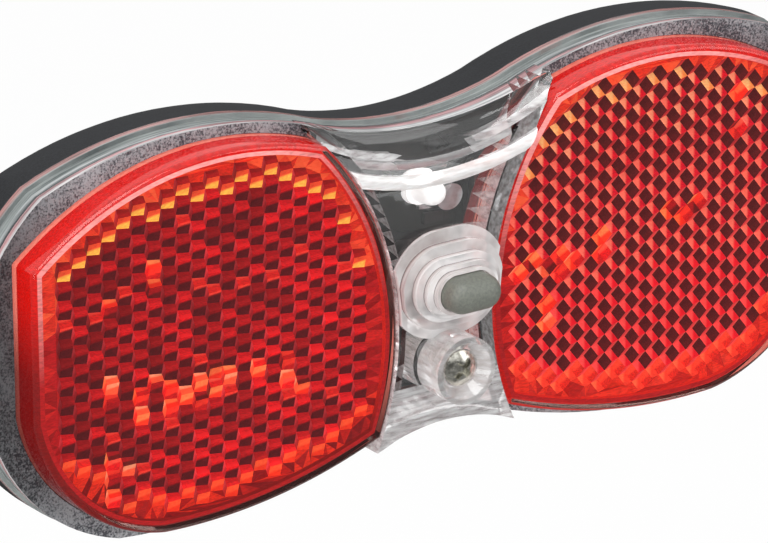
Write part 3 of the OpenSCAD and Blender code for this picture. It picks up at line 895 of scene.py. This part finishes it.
        # painted shade: the wall turns darker red towards the left cap's left and foot
        return paint(code).lerp(paint("5a0a0c"), (1 - lit) * 0.8)

    def strip_tint(self, place: Vector) -> Vector:
        """Find the colour of the highlight strip, pale where the edge faces up and left.

        Args:
            place: point of the strip in the front-up drawing.

        Returns:
            Linear paint.
        """
        x, y = place.x - self.middle[0], place.y - self.middle[1]
        across = -x if self.side is Side.RIGHT else x
        up = y / max(math.hypot(x, y), 1)
        fade = min(max((22 - across) / 14, 0.35), 1)
        share = min(max(up * 1.5, 0), 1) * fade
        return paint("a8181c").lerp(paint("f4b0b0"), share)

    def build(self) -> None:
        """Build the cap and let it ride on the lamp."""
        for piece in (self.skin(), self.core()):
            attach(piece, "lamp")
            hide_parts(f"reflector_{self.side.name.lower()}")
            log.info("%s: %d faces", piece.name, len(piece.data.polygons))


@dataclass
class Cover:
    """Moulded front cover, its surfaces told apart by where they lie."""

    finishes: dict[Zone, bpy.types.Material]
    ledge_h: float = LEDGE_H
    # the skirt lies beyond these: place along the lamp, height at the top and at the foot
    skirt: tuple[float, float, float] = (20.0, 15.2, -15.3)
    flange_h: float = RIM_H + 1.3
    # the end walls of the nose lie beyond this place along the lamp or below this height, and
    # nowhere higher or lower than the third value
    nose_end: tuple[float, float, float] = (5.5, -15.0, 20.0)
    # half length and half height of the hill
    hill: tuple[float, float] = (8.8, 7.6)
    cup_y: float = -9.8
    cup_r: float = 4.2
    # below this height the front of the nose is painted pale, for the light seen through it
    low_y: float = -12.0
    # height of the middle of the lip's arc, its radius, and how wide and deep the bead reaches
    lip: tuple[float, float, float, float] = (49.2, 36.3, 1.1, 1.3)

    def on_lip(self, face: bmesh.types.BMFace) -> bool:
        """Say whether a face lies whole on the bead of the lip.

        Args:
            face: a face of the cover, in the row frame.

        Returns:
            True if all its corners do.
        """
        middle, radius, wide, deep = self.lip
        return all(abs(math.hypot(v.co.x / MM, v.co.z / MM - BOLT_DROP - middle) - radius) < wide
                   and -v.co.y / MM > LENS_H - deep for v in face.verts)

    def zone(self, face: bmesh.types.BMFace) -> Zone:
        """Tell which kind of surface a face belongs to.

        Args:
            face: a face of the cover, in the row frame.

        Returns:
            Its zone.
        """
        c = face.calc_center_median() / MM
        x, y, h = c.x, c.z - BOLT_DROP, -c.y
        front = -face.normal.y
        if abs(h - self.ledge_h) < 0.06 and front > 0.9:
            return Zone.FROSTED
        beyond, top, foot = self.skirt
        outer = abs(x) > beyond or y > top or y < foot
        if outer and h < self.ledge_h + 0.06 and (abs(front) < 0.5 or (front > 0 and h < self.flange_h)):
            return Zone.SKIRT
        side, low, reach = self.nose_end
        at_end = (abs(x) > side or y < low) and abs(y) < reach
        if self.ledge_h < h < LENS_H and abs(front) < 0.6 and at_end:
            return Zone.PALE
        if self.on_lip(face):
            return Zone.BRIGHT
        from_cup = math.hypot(x, y - self.cup_y)
        if h > self.ledge_h and from_cup < self.cup_r + 0.05:
            return Zone.MILKY
        if h > LENS_H + 0.02 and abs(x) < self.hill[0] and abs(y) < self.hill[1]:
            return Zone.HILL
        near_foot = y < self.low_y and h > LENS_H - 0.1 and from_cup > self.cup_r
        return Zone.PALE if near_foot else Zone.CLEAR

    def build(self) -> None:
        """Copy the cover's mesh, merge it and give each face its zone's finish."""
        bm = copy_of(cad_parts["front_cover"])
        bmesh.ops.recalc_face_normals(bm, faces=bm.faces)
        bmesh.ops.bisect_plane(bm, geom=bm.verts[:] + bm.edges[:] + bm.faces[:], dist=MERGE_MM * MM,
                               plane_co=(0, 0, (self.low_y + BOLT_DROP) * MM), plane_no=(0, 0, 1))
        zones = list(Zone)
        for face in bm.faces:
            face.material_index = zones.index(self.zone(face))
        piece = finish_mesh(bm, "front_cover_clear", Matrix.Identity(4), smooth_deg=28.0)
        for zone in zones:
            piece.data.materials.append(self.finishes[zone])
        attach(piece, "lamp")
        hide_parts("front_cover")
        log.info("%s: %d faces", piece.name, len(piece.data.polygons))


@dataclass
class BackShell:
    """Black back shell, with the two rib corners that stand out of its rounding taken off."""

    # rounded discs that bound the back at one end: middle along the lamp, height, radius
    discs: tuple[tuple[float, float, float], ...] = ((-30.0, 0.0, 90.0), (38.0, 1.0, 23.6))
    rounding: float = 10.0
    # the two ribs stand beyond this place along the lamp
    from_x: float = 50.0

    def depth_out(self, place: Vector) -> float:
        """Find how far a point stands out of the rounded back.

        Args:
            place: point in the row frame, in metres.

        Returns:
            Millimetres out of the surface, or 0 away from the ends.
        """
        x, y, h = abs(place.x) / MM, place.z / MM - BOLT_DROP, -place.y / MM
        if x < self.from_x or y < 0 or h > self.rounding:
            return 0.0
        surface = 0.0
        for cx, cy, radius in self.discs:
            inward = max(self.rounding - (radius - math.hypot(x - cx, y - cy)), 0)
            surface = max(surface, self.rounding - math.sqrt(max(self.rounding ** 2 - inward ** 2, 0)))
        return surface - h

    def build(self) -> None:
        """Copy the shell, cut the corners off and close it again."""
        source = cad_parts["rear_housing"]
        bm = copy_of(source)
        fins = [f for f in bm.faces if max(self.depth_out(v.co) for v in f.verts) > 0.1
                and min(self.depth_out(v.co) for v in f.verts) > -0.03]
        bmesh.ops.delete(bm, geom=fins, context="FACES")
        rim = [e for e in bm.edges if e.is_boundary]
        bmesh.ops.triangulate(bm, faces=bmesh.ops.holes_fill(bm, edges=rim, sides=0)["faces"])
        bmesh.ops.recalc_face_normals(bm, faces=bm.faces)
        open_edges = sum(len(e.link_faces) != 2 for e in bm.edges)
        piece = finish_mesh(bm, "rear_housing_shell", Matrix.Identity(4), smooth_deg=28.0)
        piece.data.materials.append(source.data.materials[0])
        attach(piece, "lamp")
        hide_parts("rear_housing")
        log.info("%s: %d corner faces off, %d open edges", piece.name, len(fins), open_edges)


@dataclass
class Studio:
    """Plain pale floor, soft lights and the camera of the photograph."""

    eye_mm: tuple[float, float, float] = (-467.5, -694.6, 313.8)
    right: tuple[float, float, float] = (0.8249, -0.5653, -0.0077)
    up: tuple[float, float, float] = (0.2028, 0.2830, 0.9374)
    back: tuple[float, float, float] = (-0.5278, -0.7748, 0.3481)
    focal_px: float = 7536.0
    sensor_mm: float = 36.0
    floor_z_mm: float = -95.0
    fill: float = 0.5
    aim_mm: tuple[float, float, float] = (0.0, -15.0, 8.0)
    # name, place, side and watts of each soft light
    lamps: tuple[tuple[str, tuple[float, float, float], float, float], ...] = (
        ("soft_top", (-150.0, -250.0, 600.0), 500.0, 3.2),
        ("soft_left", (-600.0, -250.0, 150.0), 400.0, 1.6),
        ("soft_right", (500.0, -450.0, 250.0), 400.0, 1.0))

    def camera(self) -> None:
        """Stand the camera where the photograph was taken from."""
        data = bpy.data.cameras.new("photo_camera")
        data.sensor_width = self.sensor_mm
        data.lens = self.focal_px / PHOTO_SIZE[0] * self.sensor_mm
        data.clip_start, data.clip_end = 0.01, 20
        camera = bpy.data.objects.new("photo_camera", data)
        turn = Matrix((self.right, self.up, self.back)).transposed().to_4x4()
        camera.matrix_world = Matrix.Translation(Vector(self.eye_mm) * MM) @ turn
        bpy.context.scene.collection.objects.link(camera)
        bpy.context.scene.camera = camera

    def lamp(self, name: str, place_mm: tuple, size_mm: float, power: float) -> None:
        """Hang one soft square light.

        Args:
            name: its name.
            place_mm: where it hangs.
            size_mm: side of the square.
            power: watts.
        """
        data = bpy.data.lights.new(name, "AREA")
        data.shape, data.size, data.energy = "SQUARE", size_mm * MM, power
        light = bpy.data.objects.new(name, data)
        away = Vector(place_mm) - Vector(self.aim_mm)
        light.matrix_world = (Matrix.Translation(Vector(place_mm) * MM)
                              @ away.to_track_quat("Z", "Y").to_matrix().to_4x4())
        bpy.context.scene.collection.objects.link(light)

    def kinds(self, tree: bpy.types.NodeTree) -> tuple[bpy.types.Node, bpy.types.Node]:
        """Add nodes that tell what looks at a surface.

        Args:
            tree: tree of the world or the floor.

        Returns:
            A node that is 1 for the camera and clear plastic, and the light path node.
        """
        path = add(tree, "ShaderNodeLightPath")
        seen = add(tree, "ShaderNodeMath", settings={"operation": "MAXIMUM"},
                   links={0: (path, "Is Camera Ray"), 1: (path, "Is Transmission Ray")})
        return seen, path

    def world(self) -> None:
        """Light the object evenly, show white behind it and let gloss find a darker front."""
        world = bpy.data.worlds.new("studio")
        world.use_nodes = True
        tree = world.node_tree
        tree.nodes.clear()
        out = add(tree, "ShaderNodeOutputWorld")
        seen, path = self.kinds(tree)
        sky = ramp(tree, (axes(tree, "Generated"), "Z"),
                   [(0.0, "606060"), (0.22, "707070"), (0.34, "ffffff")])
        plain = add(tree, "ShaderNodeBackground", inputs={"Color": (1, 1, 1, 1), "Strength": self.fill})
        white = add(tree, "ShaderNodeBackground", inputs={"Color": (1, 1, 1, 1), "Strength": 1.0})
        mirrored = add(tree, "ShaderNodeBackground", inputs={"Strength": 1.0},
                       links={"Color": (sky, "Color")})
        first = add(tree, "ShaderNodeMixShader",
                    links={"Fac": (path, "Is Glossy Ray"), 1: (plain, "Background"),
                           2: (mirrored, "Background")})
        mixed = add(tree, "ShaderNodeMixShader",
                    links={"Fac": (seen, "Value"), 1: (first, "Shader"), 2: (white, "Background")})
        tree.links.new(mixed.outputs["Shader"], out.inputs["Surface"])
        bpy.context.scene.world = world

    def floor(self) -> None:
        """Lay a pale floor well under the lamp."""
        bm = bmesh.new()
        bmesh.ops.create_grid(bm, x_segments=8, y_segments=8, size=3.0,
                              matrix=Matrix.Translation((0, 0, self.floor_z_mm * MM)))
        mesh = bpy.data.meshes.new("floor")
        bm.to_mesh(mesh)
        bm.free()
        floor = bpy.data.objects.new("floor", mesh)
        bpy.context.scene.collection.objects.link(floor)
        material = bpy.data.materials.new("white_paper")
        material.use_nodes = True
        tree = material.node_tree
        tree.nodes.clear()
        out = add(tree, "ShaderNodeOutputMaterial")
        seen, path = self.kinds(tree)
        paper = add(tree, "ShaderNodeBsdfDiffuse", inputs={"Color": linear("f4f4f4")})
        glow = add(tree, "ShaderNodeEmission", inputs={"Color": (1, 1, 1, 1), "Strength": 1.0})
        dim = add(tree, "ShaderNodeEmission", inputs={"Color": linear("8c8c8c"), "Strength": 1.0})
        first = add(tree, "ShaderNodeMixShader",
                    links={"Fac": (path, "Is Glossy Ray"), 1: (paper, "BSDF"), 2: (dim, "Emission")})
        part = add(tree, "ShaderNodeMath", settings={"operation": "MULTIPLY"}, inputs={1: 0.95},
                   links={0: (seen, "Value")})
        mixed = add(tree, "ShaderNodeMixShader",
                    links={"Fac": (part, "Value"), 1: (first, "Shader"), 2: (glow, "Emission")})
        tree.links.new(mixed.outputs["Shader"], out.inputs["Surface"])
        mesh.materials.append(material)

    def build(self) -> None:
        """Set up the whole studio."""
        self.camera()
        self.world()
        self.floor()
        for name, place, size, power in self.lamps:
            self.lamp(name, place, size, power)
        bpy.context.scene.view_settings.view_transform = "Standard"
        log.info("studio: camera, floor and %d lights", len(self.lamps))


def dress_nodes() -> None:
    """Give every shown node of the part its finish."""
    finishes = {
        # ABS from a spark-eroded tool: matt, even black with a fine grain
        "housing_plastic": Finish("abs_black_spark_eroded", "18191b", "28292c", 0.6, 0.75, 0, 0.22, 0.02,
                                  gloss=0.25),
        # moulded rubber of the button: grey with a soft sheen
        "grey_plastic": Finish("rubber_grey_satin", "646760", "72756c", 0.45, 0.55, 0, 0.3, 0.004),
        # acetal of the plunger: white and slightly waxy
        "white_plastic": Finish("pom_white", "e4e4de", "ecece6", 0.35, 0.45, 0, 0.5, 0.004),
        # filled nylon of switch, chip and resistor: smooth, near black
        "black_plastic": Finish("switch_black", "1c1c1e", "242426", 0.4, 0.5, 0, 0.3, 0.005),
        # glass fibre board with a faint weave, painted near black as the inside of the housing lies in shade
        "board": Finish("board_near_black_painted_shade", "141816", "1c221e", 0.45, 0.55, 0, 1.2, 0.01, gloss=0.3),
        # cast epoxy with a diffusing filler: milky, with a painted glow for the light that comes back from
        # inside
        "led_resin": Finish("led_diffused_epoxy", "f0ecea", "ffffff", 0.25, 0.35, 0, 1.0, 0.01, 1.54,
                            clear=0.1, painted_glow=0.45),
        # drawn and tinned wire: bright, a little dull
        "tinned_wire": Finish("wire_tinned", "c8c8c4", "d8d8d4", 0.25, 0.35, 1.0, 0.4, 0.003),
        # drawn aluminium can of the capacitor
        "can_metal": Finish("aluminium_can", "b8babc", "cacccf", 0.3, 0.4, 1.0, 0.6, 0.003),
        # shrunk film jacket of a cell: dark with a metal gleam
        "cell_jacket": Finish("cell_film_jacket", "2c3036", "363b42", 0.3, 0.4, 0.3, 2.0, 0.005),
        # nickel-plated spring steel: warm and bright
        "contact_steel": Finish("spring_steel_nickel", "bcbcb8", "cfcfca", 0.25, 0.35, 1.0, 0.5, 0.004),
        # pressed head, bright zinc plated: glossy with uneven dark patches
        "screw_steel": Finish("screw_zinc_plated", "a8a69c", "e0ded4", 0.12, 0.3, 1.0, 0.5, 0.01),
        # turned bolt, zinc plated: duller than the screw
        "bolt_steel": Finish("bolt_zinc_plated", "b4b6b8", "c8cacc", 0.28, 0.4, 1.0, 0.6, 0.006),
    }
    # the two small screws on the board, painted near black into the shade inside the housing
    screws_in_shade = Finish("screw_near_black_painted_shade", "1a1a1b", "262627", 0.4, 0.5, 0.6, 0.3, 0.004, gloss=0.3).build()
    made = {slot: finish.build() for slot, finish in finishes.items()}
    for name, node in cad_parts.items():
        slots = [m.name for m in node.data.materials]
        for k, slot in enumerate(slots):
            if name.startswith("board_screw"):
                node.data.materials[k] = screws_in_shade
            elif slot in made:
                node.data.materials[k] = made[slot]
        log.info("%s: finish %s", name, slots)


def cover_finishes() -> dict[Zone, bpy.types.Material]:
    """Make the finishes of the cover's zones.

    Returns:
        Material by zone.
    """
    # polished tool: clear as glass
    clear = Finish("polycarbonate_clear", "fbfcfc", "ffffff", 0.0, 0.03, 0, 6.0, 0.01, 1.585, 0.3, 1.0)
    # thick wall full of reflections of itself, painted as a light tone with a painted glow, and soft streaks
    # along the flow
    milky = Finish("polycarbonate_thick_milky", "dcd4d2", "ffffff", 0.02, 0.08, 0, 0.5, 0.02, 1.585, 0.6, 0.8,
                   painted_glow=0.1, stretch=(5, 5, 1))
    # terraces: a painted dark line at the foot of each riser and a painted white highlight along its top
    hill = LinedFinish("polycarbonate_terraces", "c4bab8", "ffffff", 0.03, 0.1, 0, 0.3, 0.01, 1.585, 0.6, 0.5,
                       painted_glow=0.2, waver_mm=0.12,
                       lines=((21.0, "8a7c7a"), (21.15, "d8cccc"), (21.6, "ffffff"), (21.72, "7c6c6c"),
                              (21.9, "ccbcba"), (22.6, "ffffff"), (22.72, "746868"), (22.9, "ccc0be"),
                              (23.6, "ffffff"), (23.72, "706668"), (23.9, "ccc4c2"), (24.5, "ffffff"),
                              (24.62, "746c6e"), (24.8, "dcd6d4"), (25.5, "ffffff")))
    # round bead, which gathers light like a lens: a painted light tone with a painted glow
    bright = Finish("polycarbonate_lip_bead", "e0dad8", "ffffff", 0.03, 0.12, 0, 0.6, 0.03, 1.585, 0.6, 0.5,
                    painted_glow=0.3, stretch=(6, 2, 1))
    # end walls with tool marks, half clear, painted pale with a painted glow for the light seen through them
    pale = Finish("polycarbonate_end_wall", "b8b0b0", "ffffff", 0.03, 0.1, 0, 0.5, 0.02, 1.585, 0.6, 0.68,
                  painted_glow=0.12, stretch=(7, 2, 1))
    # spark-eroded ledge: a dull sparkle of dark and light specks
    frosted = FrostFinish("polycarbonate_eroded", "3c4048", "b4b8bc", 0.5, 0.7, 0, 0.22, 0.03, 1.585,
                          0.4, 0.2)
    # stepped skirt: painted reflections and shade as pink, grey, dark and white lines along it
    skirt = LinedFinish("polycarbonate_stepped_skirt", "8c9092", "ffffff", 0.12, 0.3, 0, 0.35, 0.01, 1.585,
                        0.5, 0.3,
                        lines=((12.0, "4c4042"), (12.15, "d8928e"), (12.75, "e4b0aa"), (13.0, "c8cecc"),
                               (14.0, "aab2b0"), (14.5, "e4e8e8"), (14.9, "5c6466"), (15.1, "343c3e"),
                               (15.35, "d8969a"), (16.1, "ecbcbe"), (16.25, "ffffff"), (16.6, "ffffff")))
    made = {Zone.CLEAR: clear, Zone.HILL: hill, Zone.MILKY: milky, Zone.PALE: pale, Zone.BRIGHT: bright,
            Zone.FROSTED: frosted, Zone.SKIRT: skirt}
    return {zone: finish.build() for zone, finish in made.items()}


def main() -> None:
    """Dress the part, build the pieces and set up the studio."""
    logging.basicConfig(level=logging.INFO, format="%(name)s %(message)s")
    dress_nodes()
    BackShell().build()
    Cover(cover_finishes()).build()
    # polished red acrylic, and the same acrylic where it meets the prisms, whose colours are painted light
    # and shade with a painted glow
    skin = Finish("pmma_red_clear", "ffd2ca", "ffe4de", 0.0, 0.02, 0, 5.0, 0.004, 1.49, 0.03, 1.0).build()
    core = PrismFinish("pmma_red_prisms", "dcdcdc", "ffffff", 0.4, 0.45, 0, 0.2, 0.0, 1.49, 0.1,
                       painted_glow=0.5).build()
    Reflector(Side.LEFT, skin, core, patches=(
        Patch(-33, -6.2, 2.2, -0.09, 16, 0.5), Patch(-45.8, 6, 1.0, 0, 1.0, 0.9), Patch(-38.9, 8, 2.4),
        Patch(-45.8, -14, 3.4, odds=0.4), Patch(-19, -15, 3.0, odds=0.35))).build()
    Reflector(Side.RIGHT, skin, core, patches=(
        Patch(-23, -0.9, 1.5, -0.14, 16), Patch(-15, -7, 3.2, odds=0.5),
        Patch(-42.5, 12, 3.0, odds=0.5))).build()
    Studio().build()


if __name__ == "__main__":
    main()
